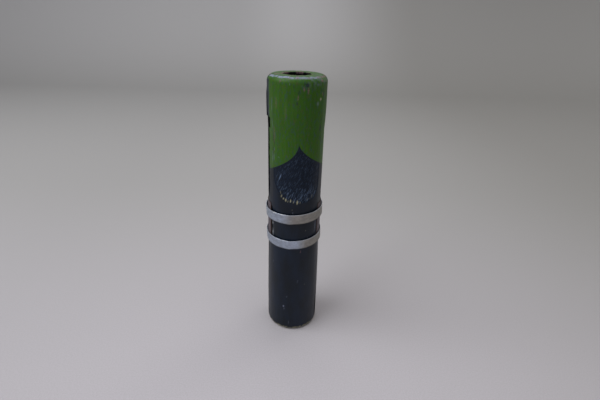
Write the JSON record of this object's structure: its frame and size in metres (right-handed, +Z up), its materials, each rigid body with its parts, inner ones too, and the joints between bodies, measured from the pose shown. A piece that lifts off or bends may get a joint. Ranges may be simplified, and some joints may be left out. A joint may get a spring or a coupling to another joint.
{
  "type": "dip pen holder",
  "caption": "Tall turned wooden pen tube of split halves with a blind bore, an ogee paint line and a carved panel, bound by riveted metal straps over packing strips.",
  "frame": {"origin": "centre of the base, on the surface the holder stands on, on the axis of the bore", "axes": "+Z up along the bore towards its mouth; -Y is the front with the carved panel; +X to the right seen from the front; the lapped and riveted ends of the straps are at +Y"},
  "size_m": [0.0332, 0.0343, 0.16],
  "materials": {
    "painted_wood": "hand-brushed green and blue-black paint, worn along the edges",
    "packing_leather": "thin dark red-brown strip, worn grey",
    "strap_metal": "dull brushed, lightly scratched",
    "rivet_metal": "dull, hammered"
  },
  "bodies": {
    "holder": {"front_half": "painted_wood", "back_half": "painted_wood", "left_packing_strip": "packing_leather", "right_packing_strip": "packing_leather"},
    "upper_strap": {"upper_band": "strap_metal", "upper_band_rivet": "rivet_metal"},
    "lower_strap": {"lower_band": "strap_metal", "lower_band_rivet": "rivet_metal"}
  },
  "joints": [
    {"name": "upper_strap_slide", "type": "slide", "parent": "holder", "child": "upper_strap", "axis": [0, 0, 1], "range_m": [-0.004, 0.05]},
    {"name": "lower_strap_slide", "type": "slide", "parent": "holder", "child": "lower_strap", "axis": [0, 0, 1], "range_m": [-0.012, 0.004]}
  ]
}
